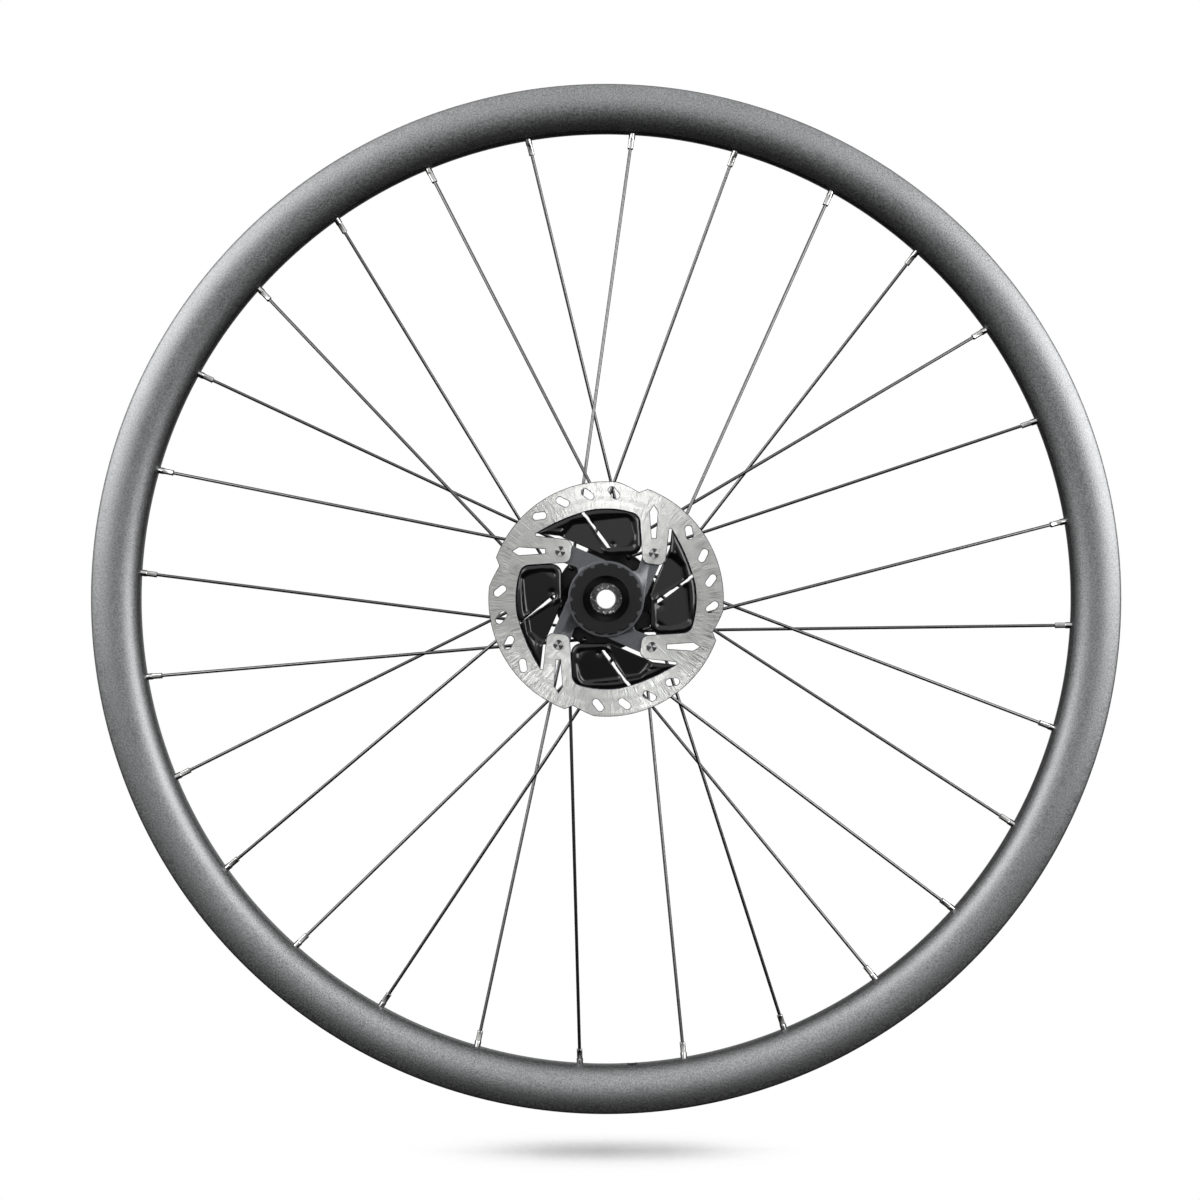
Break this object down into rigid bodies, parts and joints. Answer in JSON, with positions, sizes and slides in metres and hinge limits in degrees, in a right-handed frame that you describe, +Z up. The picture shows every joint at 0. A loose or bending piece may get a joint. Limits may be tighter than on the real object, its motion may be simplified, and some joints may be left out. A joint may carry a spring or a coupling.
{
  "type": "bicycle wheel",
  "caption": "Spoked front bicycle wheel with a hollow alloy rim, laced hub for a through axle and a ventilated disc rotor on its left side.",
  "frame": {"origin": "middle of the axle, in the rim's mid-plane, halfway between the end caps' faces", "axes": "+Y along the axle away from the disc side, +Z up in the picture, +X to its right"},
  "size_m": [0.6319, 0.1, 0.632],
  "materials": {
    "rim_alloy": "fine sandblasted, dark grey anodised",
    "spoke_black": "satin black",
    "nipple_silver": "nickel-plated, bright",
    "hub_black": "satin black anodised",
    "axle_alloy": "satin",
    "end_cap_grey": "satin with a knurled face",
    "bearing_steel": "ground",
    "seal_rubber": "matte",
    "rotor_steel": "ground in fine lines",
    "fin_black": "satin black",
    "carrier_grey": "satin anodised",
    "rivet_steel": "turned",
    "washer_steel": "plain",
    "lockring_black": "satin black anodised"
  },
  "bodies": {
    "axle": {"axle_tube": "axle_alloy", "end_cap_left": "end_cap_grey", "end_cap_right": "end_cap_grey", "bearing_left_inner_race": "bearing_steel", "bearing_right_inner_race": "bearing_steel"},
    "wheel": {"rim": "rim_alloy", "spoke_01": "spoke_black", "spoke_02": "spoke_black", "spoke_03": "spoke_black", "spoke_04": "spoke_black", "spoke_05": "spoke_black", "spoke_06": "spoke_black", "spoke_07": "spoke_black", "spoke_08": "spoke_black", "spoke_09": "spoke_black", "spoke_10": "spoke_black", "spoke_11": "spoke_black", "spoke_12": "spoke_black", "spoke_13": "spoke_black", "spoke_14": "spoke_black", "spoke_15": "spoke_black", "spoke_16": "spoke_black", "spoke_17": "spoke_black", "spoke_18": "spoke_black", "spoke_19": "spoke_black", "spoke_20": "spoke_black", "spoke_21": "spoke_black", "spoke_22": "spoke_black", "spoke_23": "spoke_black", "spoke_24": "spoke_black", "spoke_25": "spoke_black", "spoke_26": "spoke_black", "spoke_27": "spoke_black", "spoke_28": "spoke_black", "spoke_nipples": "nipple_silver", "hub_shell": "hub_black", "bearing_left_outer_race": "bearing_steel", "bearing_right_outer_race": "bearing_steel", "dust_seal_left": "seal_rubber", "dust_seal_right": "seal_rubber", "rotor_braking_track": "rotor_steel", "cooling_fin_1": "fin_black", "cooling_fin_2": "fin_black", "cooling_fin_3": "fin_black", "cooling_fin_4": "fin_black", "rotor_carrier": "carrier_grey", "rotor_rivets": "rivet_steel", "lockring_washer": "washer_steel", "lockring": "lockring_black"},
    "ball_row_left": {"bearing_left_ball_row": "bearing_steel"},
    "ball_row_right": {"bearing_right_ball_row": "bearing_steel"}
  },
  "joints": [
    {"name": "wheel_spin", "type": "hinge", "parent": "axle", "child": "wheel", "pos_m": [0, 0, 0], "axis": [0, 1, 0], "continuous": true},
    {"name": "left_ball_row_spin", "type": "hinge", "parent": "axle", "child": "ball_row_left", "pos_m": [0, 0, 0], "axis": [0, 1, 0], "continuous": true},
    {"name": "right_ball_row_spin", "type": "hinge", "parent": "axle", "child": "ball_row_right", "pos_m": [0, 0, 0], "axis": [0, 1, 0], "continuous": true}
  ],
  "couplings": [
    {"joint": "left_ball_row_spin", "follows": "wheel_spin", "ratio": 0.5674},
    {"joint": "right_ball_row_spin", "follows": "wheel_spin", "ratio": 0.5674}
  ]
}
